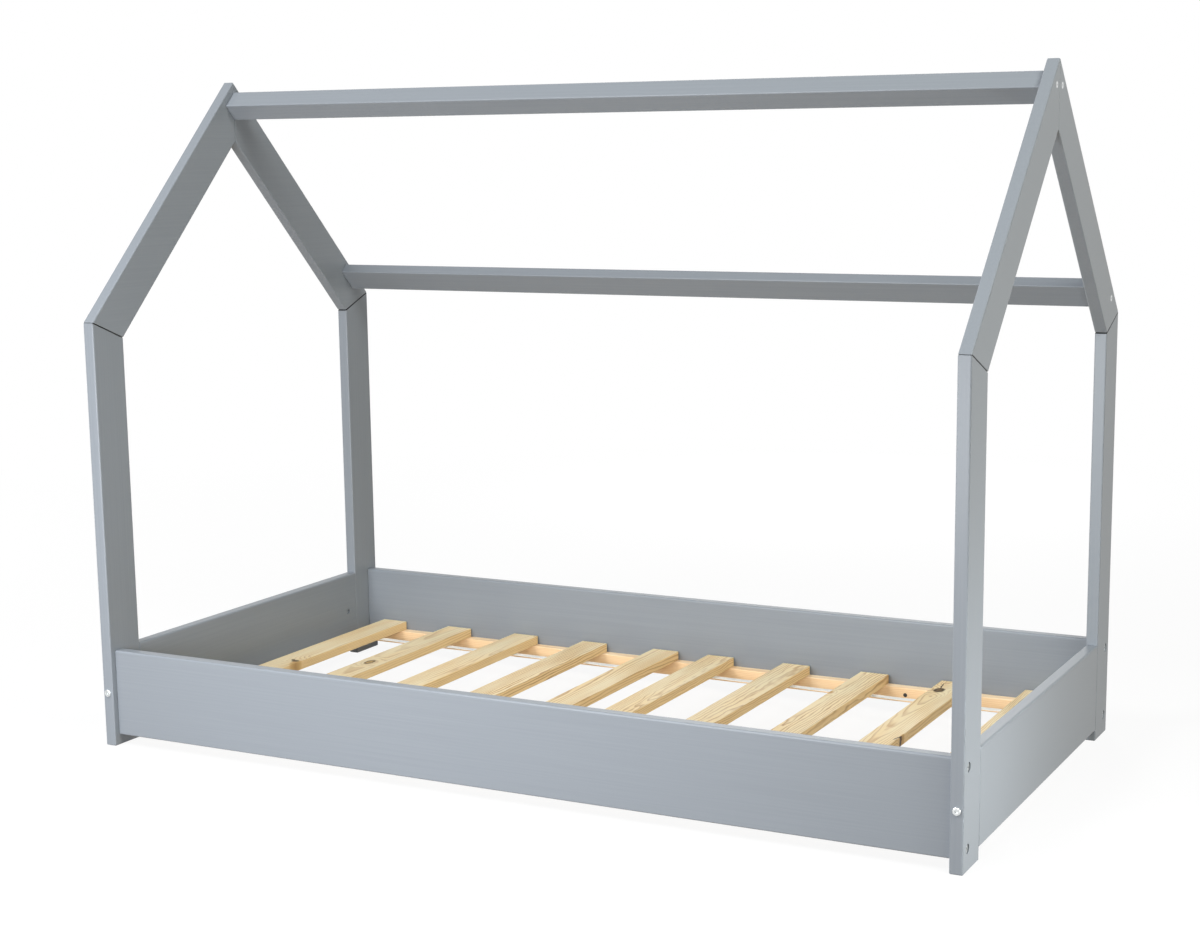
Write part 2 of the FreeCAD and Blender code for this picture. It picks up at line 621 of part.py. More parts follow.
def make_slat(label, place):
    """Slat across the bed, lying on both bearers, with the holes of its staples underneath."""
    body = new_body(label, x=place, z="places.slat_rest")
    top_view = new_sketch(body, "top_view", "XY")
    add_box(top_view, ("-sizes.slat_width / 2", "-places.slat_length / 2"),
            ("sizes.slat_width / 2", "places.slat_length / 2"))
    batten = pad(body, top_view, "sizes.slat_thickness")

    def on_long_edge(spot):
        on_side = at(abs(spot.x), "sizes.slat_width / 2")
        return on_side and (at(spot.z, "0") or at(spot.z, "sizes.slat_thickness"))

    fillet(body, batten, "sizes.slat_round", on_long_edge)
    legs = new_sketch(body, "staple_spots", "XY")
    add_squares(legs, staple_spots("0", "places.ribbon_place"), "places.staple_hole")
    holes = pocket(body, legs, "places.staple_depth", backwards=True)
    copies(body, [holes], mirrors=["XZ"])


def make_ribbon(label, roll_start, side, slat_count):
    """Woven ribbon under the slats of one roll, pierced by the staples."""
    body = new_body(label, roll_start, f"{side} * places.ribbon_place",
                    "places.slat_rest - sizes.ribbon_thickness")
    top_view = new_sketch(body, "top_view", "XY")
    add_box(top_view, ("-places.ribbon_overhang", "-sizes.ribbon_width / 2"),
            ("places.slat_row + places.ribbon_overhang", "sizes.ribbon_width / 2"))
    pad(body, top_view, "sizes.ribbon_thickness")
    legs = new_sketch(body, "staple_spots", "XY")
    for number in range(slat_count):
        add_squares(legs, staple_spots(f"{number} * places.slat_pitch", "0"), "places.staple_hole")
    pocket(body, legs, "sizes.ribbon_thickness", backwards=True)


def make_staples(label, roll_start):
    """Staples of one roll: each holds a ribbon up against a slat, with its legs in the slat."""
    body = new_body(label)
    front_view = new_sketch(body, "front_view", "YZ", "places.ribbon_place",
                            "places.slat_rest - sizes.ribbon_thickness", roll_start)
    tip = "sizes.ribbon_thickness + sizes.staple_grip"
    add_outline(front_view, (
        ("-places.staple_half", "-sizes.staple_wire"),
        ("places.staple_half", "-sizes.staple_wire"),
        ("places.staple_half", tip),
        ("places.staple_inside", tip),
        ("places.staple_inside", "0"),
        ("-places.staple_inside", "0"),
        ("-places.staple_inside", tip),
        ("-places.staple_half", tip),
    ))
    staple = pad(body, front_view, "sizes.staple_wire", both_ways=True)
    copies(body, [staple], mirrors=["XZ"], row=("X", "sizes.slats_per_roll", "places.slat_row"))


# Fasteners: each kind is one group of separate solids

def add_hexagon(sketch, across_flats):
    """Hexagon socket."""
    radius = f"{across_flats} / sqrt(3)"
    add_outline(sketch, [(f"{radius} * cos({corner * 60})", f"{radius} * sin({corner * 60})")
                         for corner in range(6)])


def add_cross(sketch):
    """Cross recess."""
    tip, arm = "sizes.recess_span / 2", "sizes.recess_width / 2"
    add_outline(sketch, (
        (tip, arm), (arm, arm), (arm, tip),
        ("-" + arm, tip), ("-" + arm, arm), ("-" + tip, arm),
        ("-" + tip, "-" + arm), ("-" + arm, "-" + arm), ("-" + arm, "-" + tip),
        (arm, "-" + tip), (arm, "-" + arm), (tip, "-" + arm),
    ))


def headed_outline(diameter, head_diameter, head_height, length, point):
    """Half section of a fastener with a round head, which seats at 0; its tip is at minus its length."""
    shank, head = f"{diameter} / 2", f"{head_diameter} / 2"
    return ((f"-({length})", "0"), (head_height, "0"), (head_height, head), ("0", head), ("0", shank),
            (f"{point} - ({length})", shank))


def flush_outline(diameter, head_diameter, length):
    """Half section of a flush screw: the top of its head is at 0 and its tip at minus its length."""
    shank, head = f"{diameter} / 2", f"{head_diameter} / 2"
    return ((f"-({length})", "0"), ("0", "0"), ("0", head), (f"{shank} - {head}", shank),
            (f"sizes.screw_point - ({length})", shank))


def make_bolts():
    """End board bolts: proud round heads with a hexagon socket, on the outer edges of the posts."""
    body = new_body("end_board_bolts")
    outline = headed_outline("sizes.bolt_diameter", "sizes.bolt_head_diameter", "sizes.bolt_head_height",
                             "sizes.post_width + places.bolt_reach", "0")
    bolt = revolve(body, "half_section", "XY", outline,
                   "places.gable_middle", "places.half_width", "places.bolt_height", (Z_DIRECTION, "90"))
    rounded = fillet(body, bolt, "sizes.bolt_head_round",
                     lambda spot: at(spot.y, "places.half_width + sizes.bolt_head_height"))
    socket = new_sketch(body, "socket", "XZ", "places.gable_middle", "places.bolt_height",
                        "-places.half_width - sizes.bolt_head_height")
    add_hexagon(socket, "sizes.bolt_socket")
    hexagon = pocket(body, socket, "sizes.bolt_socket_depth", backwards=True)
    copies(body, [bolt, rounded, hexagon], mirrors=["XZ", "YZ"])


def make_nuts():
    """Barrel nuts in the end boards: cross-drilled for the bolts, with a slot to turn them by."""
    body = new_body("barrel_nuts")
    barrel = new_sketch(body, "barrel", "YZ", z="places.gable_middle")
    add_circles(barrel, [("places.nut_place", "places.bolt_height")], "sizes.nut_diameter")
    nut = pad(body, barrel, "sizes.nut_length", both_ways=True)
    cross = new_sketch(body, "cross_hole", "XZ", z="-places.post_inner")
    add_circles(cross, [("places.gable_middle", "places.bolt_height")], "places.bolt_hole")
    hole = drill(body, cross, "places.bolt_hole", backwards=True)
    open_end = new_sketch(body, "slot", "YZ", "places.nut_place", "places.bolt_height",
                          "places.gable_middle - sizes.nut_length / 2")
    add_box(open_end, ("-sizes.nut_diameter", "-sizes.nut_slot_width / 2"),
            ("sizes.nut_diameter", "sizes.nut_slot_width / 2"))
    slot = pocket(body, open_end, "sizes.nut_slot_depth", backwards=True)
    copies(body, [nut, hole, slot], mirrors=["XZ", "YZ"])


def make_side_screws():
    """Side board screws: flat sunk heads with a hexagon socket, into the ends of the side boards."""
    body = new_body("side_board_screws")
    outline = headed_outline(
        "sizes.side_screw_diameter", "sizes.side_screw_head_diameter", "sizes.side_screw_head_height",
        "sizes.plank_thickness - places.counterbore_depth + sizes.side_screw_grip", "sizes.screw_point")
    spot = ("places.side_board_middle", "places.side_screw_low")
    seat = "places.gable_face - places.counterbore_depth"
    screw = revolve(body, "half_section", "XY", outline, seat, *spot)
    socket = new_sketch(body, "socket", "YZ", *spot, "places.gable_face - sizes.side_screw_sink")
    add_hexagon(socket, "sizes.side_screw_socket")
    hexagon = pocket(body, socket, "sizes.side_screw_socket_depth")
    copies(body, [screw, hexagon], mirrors=["XZ", "YZ"],
           row=("Z", "2", "places.side_screw_high - places.side_screw_low"))


def make_beam_screws(label, spot, mirrors):
    """Flush screws through the rafters into the ends of a beam."""
    body = new_body(label)
    outline = flush_outline("sizes.beam_screw_diameter", "sizes.beam_screw_head_diameter",
                            "sizes.plank_thickness + sizes.beam_screw_grip")
    screw = revolve(body, "half_section", "XY", outline, "places.gable_face", *spot)
    recess = new_sketch(body, "recess", "YZ", *spot, "places.gable_face")
    add_cross(recess)
    cross = pocket(body, recess, "sizes.recess_depth")
    copies(body, [screw, cross], mirrors=mirrors)


def make_bearer_screws():
    """Flush screws through the bearers into the side boards."""
    body = new_body("bearer_screws")
    outline = flush_outline("sizes.bearer_screw_diameter", "sizes.bearer_screw_head_diameter",
                            "sizes.bearer_depth + sizes.bearer_screw_grip")
    screw = revolve(body, "half_section", "XY", outline, "-places.bearer_screw_last", "places.bearer_inner",
                    "places.bearer_screw_height", (-Z_DIRECTION, "90"))
    recess = new_sketch(body, "recess", "XZ", "-places.bearer_screw_last", "places.bearer_screw_height",
                        "-places.bearer_inner")
    add_cross(recess)
    cross = pocket(body, recess, "sizes.recess_depth")
    copies(body, [screw, cross], mirrors=["XZ"],
           row=("X", "sizes.bearer_screw_count", "2 * places.bearer_screw_last"))


def dowel_outline():
    """Half section of a dowel with bevelled ends, about its middle."""
    half, radius = "sizes.dowel_length / 2", "sizes.dowel_diameter / 2"
    return (("-" + half, "0"), (half, "0"), (half, f"{radius} - sizes.dowel_bevel"),
            (f"{half} - sizes.dowel_bevel", radius), (f"sizes.dowel_bevel - {half}", radius),
            ("-" + half, f"{radius} - sizes.dowel_bevel"))


def make_mitre_dowels():
    """Glued dowels across the mitres between posts and rafters."""
    body = new_body("mitre_dowels")
    square_to_mitre = (Z_DIRECTION, "90 + places.mitre_lean")
    dowels = [revolve(body, "half_section", "YZ", dowel_outline(), f"places.half_width - {place}",
                      f"sizes.post_height - {place} * tan(places.mitre_lean)", "places.gable_middle",
                      square_to_mitre) for place in MITRE_DOWEL_PLACES]
    copies(body, dowels, mirrors=["XZ", "YZ"])


def make_apex_dowels():
    """Glued dowels across the plumb cuts where the rafters meet."""
    body = new_body("apex_dowels")
    dowels = [revolve(body, "half_section", "YZ", dowel_outline(), "0", height, "places.gable_middle")
              for height in apex_dowel_heights()]
    copies(body, dowels, mirrors=["YZ"])


# The bed

for end_name, end in ENDS:
    for side_name, side in SIDES:
        make_post(f"{side_name}_{end_name}_post", end, side)
        make_rafter(f"{side_name}_{end_name}_rafter", end, side)
    make_end_board(f"{end_name}_end_board", end)

for side_name, side in SIDES:
    make_side_board(f"{side_name}_side_board", side)
    make_bearer(f"{side_name}_slat_bearer", side)
make_ridge_beam()
make_eaves_beam()

slat_count = int(amount("sizes.slats_per_roll"))
first_number = 1
for roll_name in ("left", "right"):
    roll_start = f"places.{roll_name}_roll_start"
    for number in range(slat_count):
        make_slat(f"slat_{first_number + number:02d}", f"{roll_start} + {number} * places.slat_pitch")
    first_number += slat_count
    for side_name, side in SIDES:
        make_ribbon(f"{roll_name}_roll_{side_name}_ribbon", roll_start, side, slat_count)
    make_staples(f"{roll_name}_roll_staples", roll_start)

make_bolts()
make_nuts()
make_side_screws()
make_beam_screws("ridge_screws", ("places.ridge_screw_place", "places.ridge_screw_height"), ["XZ", "YZ"])
make_beam_screws("eaves_screws", ("places.eaves_screw_place", "places.eaves_screw_height"), ["YZ"])
make_bearer_screws()
make_mitre_dowels()
make_apex_dowels()

# Checks, then one file for each sub-part

doc.recompute()
for item in doc.Objects:
    if "Invalid" in item.State or "Error" in item.State:
        raise ValueError(f"{item.Label} failed: {item.State}")
for body in bodies:
    if body.Shape.isNull() or not body.Shape.isValid():
        raise ValueError(f"{body.Label} has no valid shape")

os.makedirs("parts", exist_ok=True)
for body in bodies:
    body.Shape.exportStep(f"parts/{body.Label}.step")
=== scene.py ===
import math

import bmesh
import bpy
from mathutils import Matrix, Vector


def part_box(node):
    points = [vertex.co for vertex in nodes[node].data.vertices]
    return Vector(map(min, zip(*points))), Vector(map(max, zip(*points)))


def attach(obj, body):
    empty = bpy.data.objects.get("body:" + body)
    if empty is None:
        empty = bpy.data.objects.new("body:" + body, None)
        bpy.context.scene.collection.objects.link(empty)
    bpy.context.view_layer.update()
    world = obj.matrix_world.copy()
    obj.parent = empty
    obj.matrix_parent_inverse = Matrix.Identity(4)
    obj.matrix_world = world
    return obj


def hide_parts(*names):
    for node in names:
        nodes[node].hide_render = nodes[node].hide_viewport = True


# House-frame kids bed: painted pine gables, boards and beams, bare pine slats on bearers, woven ribbons
# under the slats and steel fasteners. Metres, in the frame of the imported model.

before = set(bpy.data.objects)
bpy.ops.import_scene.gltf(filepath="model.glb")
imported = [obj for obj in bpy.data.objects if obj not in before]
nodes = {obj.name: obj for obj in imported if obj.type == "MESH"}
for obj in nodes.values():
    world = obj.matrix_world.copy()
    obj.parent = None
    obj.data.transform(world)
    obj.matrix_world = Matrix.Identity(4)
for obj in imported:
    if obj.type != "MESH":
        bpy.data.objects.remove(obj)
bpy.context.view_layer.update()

MM = 0.001
QUARTER_TURN = math.pi / 2
EIGHTH_TURN = math.pi / 4
SLATS = [f"slat_{number:02d}" for number in range(1, 11)]
ROLLS = (("left", SLATS[:5]), ("right", SLATS[5:]))


# Helpers

def linear(code):
    """Linear colour of an sRGB hex code."""
    channels = [int(code[place:place + 2], 16) / 255 for place in (1, 3, 5)]
    return [c / 12.92 if c <= 0.04045 else ((c + 0.055) / 1.055) ** 2.4 for c in channels] + [1.0]


def add(tree, kind, values=None, stops=(), **settings):
    """Add one node: settings are its properties, values its sockets, each a plain value or a socket to link,
    and stops the rising (place, hex code) stops of a colour ramp."""
    node = tree.nodes.new("ShaderNode" + kind)
    for name, setting in settings.items():
        setattr(node, name, setting)
    for socket, value in (values or {}).items():
        if isinstance(value, bpy.types.NodeSocket):
            tree.links.new(value, node.inputs[socket])
        else:
            node.inputs[socket].default_value = value
    for number, (place, code) in enumerate(stops):
        elements = node.color_ramp.elements
        stop = elements[number] if number < 2 else elements.new(place)
        stop.position, stop.color = place, linear(code)
    return node


def new_material(name):
    """Empty node material and its tree."""
    material = bpy.data.materials.new(name)
    material.use_nodes = True
    material.node_tree.nodes.clear()
    return material, material.node_tree


def finish_surface(tree, values, height, depth):
    """Close a material with a surface that has a bump of a real depth in metres."""
    bump = add(tree, "Bump", {"Strength": 1.0, "Distance": depth, "Height": height})
    shader = add(tree, "BsdfPrincipled", {**values, "Normal": bump.outputs["Normal"]})
    add(tree, "OutputMaterial", {"Surface": shader.outputs["BSDF"]})


def dress(names, material):
    """Give CAD nodes a material."""
    for name in names:
        for slot in nodes[name].material_slots:
            slot.material = material


def new_object(name, mesh, material):
    """Object at the origin from a finished bmesh, which is freed."""
    data = bpy.data.meshes.new(name)
    mesh.to_mesh(data)
    mesh.free()
    data.materials.append(material)
    made = bpy.data.objects.new(name, data)
    bpy.context.scene.collection.objects.link(made)
    return made


# Painted pine: planed planks sprayed with satin water-based paint. The eye gets an even blue-grey with a soft
# sheen, and grain lines so faint that they show only close by or where light grazes a face. The mitres get a
# dark line of painted shade.

PAINT_DARK, PAINT, PAINT_PALE = "#878D94", "#898F96", "#8B9198"
# Length, spacing and height of the grain lines that show through the paint
PAINT_LINE_LENGTH, PAINT_LINE_SPACING, PAINT_LINE_HEIGHT = 350 * MM, 3 * MM, 0.005 * MM

# Mitres between posts and rafters: their outer corner, seen along the bed, and their lean
MITRE_PLACE, MITRE_HEIGHT, MITRE_LEAN = 434 * MM, 785 * MM, math.radians(22.5)
# Painted shade: the eased edges of the open mitres are coloured dark, for the shade in the narrow gap. The
# dark line's half width narrows across the rounded outer edge, where the planks touch
MITRE_PAINTED_SHADE = "#26282A"
MITRE_LINE, MITRE_LINE_OUTSIDE = 1.4 * MM, 0.6 * MM
OUTER_EDGE_START, OUTER_EDGE_END = MITRE_PLACE - 4 * MM, MITRE_PLACE - MM


def painted_pine(run, turn):
    """Paint whose faint lines run along the plank: turn carries X to the plank's length."""
    material, tree = new_material("planed_pine_sprayed_satin_" + run)
    place = add(tree, "TexCoord").outputs["Object"]
    line_size = (PAINT_LINE_LENGTH, PAINT_LINE_SPACING, PAINT_LINE_SPACING)
    along = add(tree, "Mapping", {"Vector": place, "Rotation": turn, "Scale": line_size},
                vector_type="TEXTURE").outputs["Vector"]
    lines = add(tree, "TexNoise", {"Vector": along, "Scale": 1.0, "Detail": 3.0,
                                   "Roughness": 0.6}).outputs["Fac"]
    colour = add(tree, "ValToRGB", {"Fac": lines},
                 ((0.3, PAINT_DARK), (0.5, PAINT), (0.7, PAINT_PALE))).outputs["Color"]

    # Painted shade along the mitres, which all lie on one plane once the rear is folded over onto the front
    folded = add(tree, "VectorMath", {0: place}, operation="ABSOLUTE").outputs["Vector"]
    above = add(tree, "VectorMath", {0: folded, 1: (0, -math.sin(MITRE_LEAN), math.cos(MITRE_LEAN))},
                operation="DOT_PRODUCT").outputs["Value"]
    corner = MITRE_HEIGHT * math.cos(MITRE_LEAN) - MITRE_PLACE * math.sin(MITRE_LEAN)
    above = add(tree, "Math", {0: above, 1: corner}, operation="SUBTRACT").outputs["Value"]
    away = add(tree, "Math", {0: above}, operation="ABSOLUTE").outputs["Value"]
    outward = add(tree, "SeparateXYZ", {"Vector": folded}).outputs["Y"]
    reach = add(tree, "MapRange", {"Value": outward, "From Min": OUTER_EDGE_START, "From Max": OUTER_EDGE_END,
                                   "To Min": MITRE_LINE, "To Max": MITRE_LINE_OUTSIDE}).outputs["Result"]
    away = add(tree, "Math", {0: away, 1: reach}, operation="DIVIDE").outputs["Value"]
    shade = add(tree, "MapRange", {"Value": away, "From Min": 0.7, "From Max": 1.1,
                                   "To Min": 1.0, "To Max": 0.0}).outputs["Result"]
    colour = add(tree, "MixRGB", {"Fac": shade, "Color1": colour,
                                  "Color2": linear(MITRE_PAINTED_SHADE)}).outputs["Color"]

    rough = add(tree, "MapRange", {"Value": lines, "From Min": 0.3, "From Max": 0.7,
                                   "To Min": 0.32, "To Max": 0.37}).outputs["Result"]
    finish_surface(tree, {"Base Color": colour, "Roughness": rough, "IOR": 1.36}, lines, PAINT_LINE_HEIGHT)
    return material


# Turn of the grain and the pieces, for each way that planks run
PAINT_RUNS = {
    "along_bed": ((0, 0, 0), ("front_side_board", "rear_side_board", "ridge_beam", "rear_eaves_beam")),
    "across_bed": ((0, 0, QUARTER_TURN), ("left_end_board", "right_end_board")),
    "upright": ((0, QUARTER_TURN, 0),
                ("front_left_post", "front_right_post", "rear_left_post", "rear_right_post")),
    "front_slope": ((EIGHTH_TURN, 0, QUARTER_TURN), ("front_left_rafter", "front_right_rafter")),
    "rear_slope": ((-EIGHTH_TURN, 0, QUARTER_TURN), ("rear_left_rafter", "rear_right_rafter")),
}
for run, (turn, names) in PAINT_RUNS.items():
    dress(names, painted_pine(run, turn))


# Bare pine: softwood planed on its broad faces and sawn on its edges, left dry. The eye gets dull pale early
# wood with darker late wood lines, which run out in arches and flow round the knots, and slightly warmer edges.

KNOT_TONES = {
    "ringed": ((0.0, "#8A6A3C"), (0.4, "#BFA066"), (0.66, "#9C7E4A"), (0.84, "#3A2A14"), (1.0, "#8E7040")),
    "dark": ((0.0, "#5E4A2C"), (0.35, "#6E5836"), (0.75, "#2A1E10"), (1.0, "#6B5230")),
    "ragged": ((0.0, "#B98F58"), (0.5, "#C9A268"), (1.0, "#DDB97E")),
    "crack": ((0.0, "#24160C"), (1.0, "#5E3F22")),
}
# Noises drawn out along the wood, by width and length in millimetres and by detail: the trunk's slow wander,
# the curl of the lines, patches of stronger lines, and fibres, which are drawn coarser than real so that they
# show
WOOD_NOISES = ((50, 330, 1.0), (13, 70, 1.5), (26, 160, 1.0), (0.9, 90, 2.0))
# Swing of the wander, and size and swing of the noise in the outlines of knots, in millimetres
WANDER, OUTLINE_NOISE, OUTLINE_SWING = 12, 9, 4
# Rings that a knot pushes aside, and where the push starts and ends, in sizes of the knot
KNOT_PUSH, PUSH_START, PUSH_END = 2.6, 0.8, 3.4
# Depth of the warmer tone at a sawn edge, and height of the grain
SAWN_EDGE, WOOD_RELIEF = 0.8 * MM, 0.12 * MM


def bare_wood(name, middle, turn, half_width, grain, tones, marks=()):
    """Growth rings about a tilted pith line.

    Middle is that of the batten's top face, and turn carries Y to its length. Grain is the pith's place beside
    and below the middle in millimetres, its nod and yaw in degrees, the ring spacing and the curl of the lines
    in millimetres, and the strength of the lines. Tones are those of early wood, of warm patches and edges, and
    of late wood. Marks are knots and cracks: place across and along, half width and half length in millimetres,
    turn in degrees, and tone."""
    beside, below, nod, yaw, ring, curl, strength = grain
    early, warm, late = tones
    material, tree = new_material(name)
    place = add(tree, "TexCoord").outputs["Object"]
    local = add(tree, "Mapping", {"Vector": place, "Location": middle, "Rotation": turn},
                vector_type="TEXTURE").outputs["Vector"]
    trunk = add(tree, "Mapping", {"Vector": local, "Location": (beside * MM, 0, below * MM),
                                  "Rotation": (math.radians(nod), 0, math.radians(yaw))},
                vector_type="TEXTURE").outputs["Vector"]
    across = add(tree, "VectorMath", {0: trunk, 1: (1, 0, 1)}, operation="MULTIPLY").outputs["Vector"]
    radius = add(tree, "VectorMath", {0: across}, operation="LENGTH").outputs["Value"]

    noises = []
    for width, length, detail in WOOD_NOISES:
        drawn = add(tree, "Mapping", {"Vector": place, "Rotation": turn,
                                      "Scale": (width * MM, length * MM, width * MM)}, vector_type="TEXTURE")
        noises.append(add(tree, "TexNoise", {"Vector": drawn.outputs["Vector"], "Scale": 1.0,
                                             "Detail": detail}).outputs["Fac"])
    wander, curls, patches, fibres = noises
    for noise, swing in ((wander, WANDER), (curls, curl)):
        radius = add(tree, "Math", {0: noise, 1: swing * MM, 2: radius},
                     operation="MULTIPLY_ADD").outputs["Value"]

    # Knots push the rings aside
    ragged = add(tree, "TexNoise", {"Vector": place, "Scale": 1 / (OUTLINE_NOISE * MM),
                                    "Detail": 2.0}).outputs["Color"]
    rough_place = add(tree, "VectorMath", {0: ragged, 1: (OUTLINE_SWING * MM, OUTLINE_SWING * MM, 0), 2: local},
                      operation="MULTIPLY_ADD").outputs["Vector"]
    # That noise is 0.5 on average, so it shifts a mark by half its swing, which is taken off again
    shift = OUTLINE_SWING / 2
    spots = []
    for x, y, wide, long, skew, tone in marks:
        near = add(tree, "Mapping", {"Vector": rough_place, "Location": ((x + shift) * MM, (y + shift) * MM, 0),
                                     "Rotation": (0, 0, math.radians(skew)),
                                     "Scale": (wide * MM, long * MM, 1)},
                   vector_type="TEXTURE").outputs["Vector"]
        away = add(tree, "VectorMath", {0: near}, operation="LENGTH").outputs["Value"]
        spots.append((away, tone))
        if tone != "crack":
            push = add(tree, "MapRange", {"Value": away, "From Min": PUSH_START, "From Max": PUSH_END,
                                          "To Min": KNOT_PUSH * ring * MM, "To Max": 0.0},
                       interpolation_type="SMOOTHSTEP").outputs["Result"]
            radius = add(tree, "Math", {0: radius, 1: push}, operation="ADD").outputs["Value"]

    # Early wood darkens slowly into late wood, which ends sharply
    rings = add(tree, "Math", {0: radius, 1: ring * MM}, operation="DIVIDE").outputs["Value"]
    phase = add(tree, "Math", {0: rings}, operation="FRACT").outputs["Value"]
    darken = add(tree, "MapRange", {"Value": phase, "From Min": 0.45, "From Max": 0.88},
                 interpolation_type="SMOOTHSTEP").outputs["Result"]
    end = add(tree, "MapRange", {"Value": phase, "From Min": 0.9, "From Max": 1.0,
                                 "To Min": 1.0, "To Max": 0.0}).outputs["Result"]
    line = add(tree, "Math", {0: darken, 1: end}, operation="MULTIPLY").outputs["Value"]
    share = add(tree, "MapRange", {"Value": patches, "From Min": 0.3, "From Max": 0.7,
                                   "To Min": 0.45 * strength, "To Max": 1.15 * strength}).outputs["Result"]
    weight = add(tree, "Math", {0: line, 1: share}, operation="MULTIPLY").outputs["Value"]
    fleck = add(tree, "MapRange", {"Value": fibres, "From Min": 0.35, "From Max": 0.75,
                                   "To Min": 0.0, "To Max": 0.2}).outputs["Result"]
    weight = add(tree, "Math", {0: weight, 1: fleck}, operation="ADD", use_clamp=True).outputs["Value"]

    # Patches and sawn edges are warmer
    sides = add(tree, "SeparateXYZ", {"Vector": local}).outputs["X"]
    sides = add(tree, "Math", {0: sides}, operation="ABSOLUTE").outputs["Value"]
    sawn = add(tree, "MapRange", {"Value": sides, "From Min": half_width - SAWN_EDGE, "From Max": half_width,
                                  "To Min": 0.0, "To Max": 0.6}).outputs["Result"]
    tint = add(tree, "Math", {0: patches, 1: sawn}, operation="ADD").outputs["Value"]
    colour = add(tree, "ValToRGB", {"Fac": tint}, ((0.3, early), (1.0, warm))).outputs["Color"]
    colour = add(tree, "MixRGB", {"Fac": weight, "Color1": colour, "Color2": linear(late)}).outputs["Color"]
    for away, tone in spots:
        brown = add(tree, "ValToRGB", {"Fac": away}, KNOT_TONES[tone]).outputs["Color"]
        inside = add(tree, "MapRange", {"Value": away, "From Min": 0.85, "From Max": 1.2,
                                        "To Min": 1.0, "To Max": 0.0}).outputs["Result"]
        colour = add(tree, "MixRGB", {"Fac": inside, "Color1": colour, "Color2": brown}).outputs["Color"]
    rough = add(tree, "MapRange", {"Value": weight, "To Min": 0.64, "To Max": 0.5}).outputs["Result"]
    finish_surface(tree, {"Base Color": colour, "Roughness": rough, "IOR": 1.5}, weight, WOOD_RELIEF)
    return material


SLAT_TONES = ("#FAEBC6", "#F6D7A0", "#B4874E")
# One row for each slat, in the order that bare_wood gives
SLAT_GRAIN = (
    (34, -40, 0.5, 0.4, 3.0, 2, 0.5),
    (-6, -60, 1.2, 0.3, 4.0, 3, 0.4),
    (26, -40, 0.6, -0.3, 3.2, 5, 0.5),
    (34, -18, 0.3, 0.3, 4.6, 6, 0.95),
    (-26, -34, -0.5, 0.3, 3.2, 3, 0.65),
    (20, -30, 0.9, 0.4, 3.4, 8, 0.6),
    (25, -35, -0.7, 0.3, 4.4, 8, 0.75),
    (-28, -30, 0.6, -0.3, 4.6, 8, 0.8),
    (-8, -32, 2.0, 0.5, 3.0, 3, 0.55),
    (24, -26, 0.6, 0.2, 3.4, 8, 0.9),
)
SLAT_MARKS = {
    "slat_01": ((29, -8, 11, 20, 10, "ragged"), (18, 6, 8, 6, 20, "dark"), (9, 12, 4, 4, 0, "dark")),
    "slat_02": ((-4, 61, 9, 16, 0, "ringed"),),
    "slat_08": ((-26, 228, 5, 9, 0, "ragged"),),
    "slat_09": ((-10, 328, 10, 15, 0, "dark"), (-14, 356, 1.3, 24, 8, "crack"), (30, 12, 4, 9, 0, "ragged"),
                (27, -6, 1.6, 16, -14, "crack")),
}
for name, grain in zip(SLATS, SLAT_GRAIN):
    low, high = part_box(name)
    middle = ((low.x + high.x) / 2, 0, high.z)
    dress([name], bare_wood("bare_pine_planed_" + name, middle, (0, 0, 0), (high.x - low.x) / 2, grain,
                            SLAT_TONES, SLAT_MARKS.get(name, ())))

BEARER_TONES = ("#FFEBCB", "#FCDAAE", "#EABD89")
BEARER_GRAIN = (12, -52, 0.4, 0, 3.5, 3, 0.6)
for name in ("front_slat_bearer", "rear_slat_bearer"):
    low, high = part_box(name)
    middle = (0, (low.y + high.y) / 2, high.z)
    dress([name], bare_wood("bare_pine_planed_" + name, middle, (0, 0, -QUARTER_TURN), (high.y - low.y) / 2,
                            BEARER_GRAIN, BEARER_TONES))

# Beech dowels, turned and hidden in the joints. With a joint open, the eye would get a plain pale brown with
# close grain.
DOWEL_TONES = ("#DDBF93", "#D2B084", "#C49E6C")
DOWEL_GRAIN = (0, 0, 0, 0, 1.5, 1, 0.5)
DOWEL_RADIUS = 4 * MM
dress(("mitre_dowels", "apex_dowels"),
      bare_wood("bare_beech_turned_dowels", (0, 0, 0), (QUARTER_TURN, 0, 0), DOWEL_RADIUS, DOWEL_GRAIN,
                DOWEL_TONES))


# Coated steel

def speckled_steel(name, speck, tones, roughness, depth, values):
    """Coat with specks of one size, from one tone and roughness to another. Values are the same all over."""
    material, tree = new_material(name)
    place = add(tree, "TexCoord").outputs["Object"]
    specks = add(tree, "TexNoise", {"Vector": place, "Scale": 1 / speck, "Detail": 2.0}).outputs["Fac"]
    colour = add(tree, "ValToRGB", {"Fac": specks}, ((0.3, tones[0]), (0.7, tones[1]))).outputs["Color"]
    rough = add(tree, "MapRange", {"Value": specks, "To Min": roughness[0],
                                   "To Max": roughness[1]}).outputs["Result"]
    finish_surface(tree, {"Base Color": colour, "Roughness": rough, **values}, specks, depth)
    return material


# Zinc-plated steel: turned, rolled and tumbled, then plated bright. The eye gets a pale, slightly cloudy
# mirror. Tumbling marks are finer than a tenth of a millimetre in truth, and are drawn at 0.8 mm so that they
# show.
zinc = speckled_steel("tumbled_zinc_plate", 0.8 * MM, ("#C6C9CA", "#DFE1E0"), (0.2, 0.36), 0.02 * MM,
                      {"Metallic": 1.0})
dress(("end_board_bolts", "barrel_nuts", "side_board_screws", "ridge_screws", "eaves_screws",
       "left_roll_staples", "right_roll_staples"), zinc)

# Black phosphate: a dull crystal coat on the bearer screws, which the eye takes for a dark spot in the wood.
# Crystals are some hundredths of a millimetre in truth, and are drawn at 0.5 mm so that they show.
phosphate = speckled_steel("phosphated_black_steel", 0.5 * MM, ("#1E1C1A", "#363330"), (0.45, 0.65), 0.03 * MM,
                           {"IOR": 1.6})
dress(["bearer_screws"], phosphate)


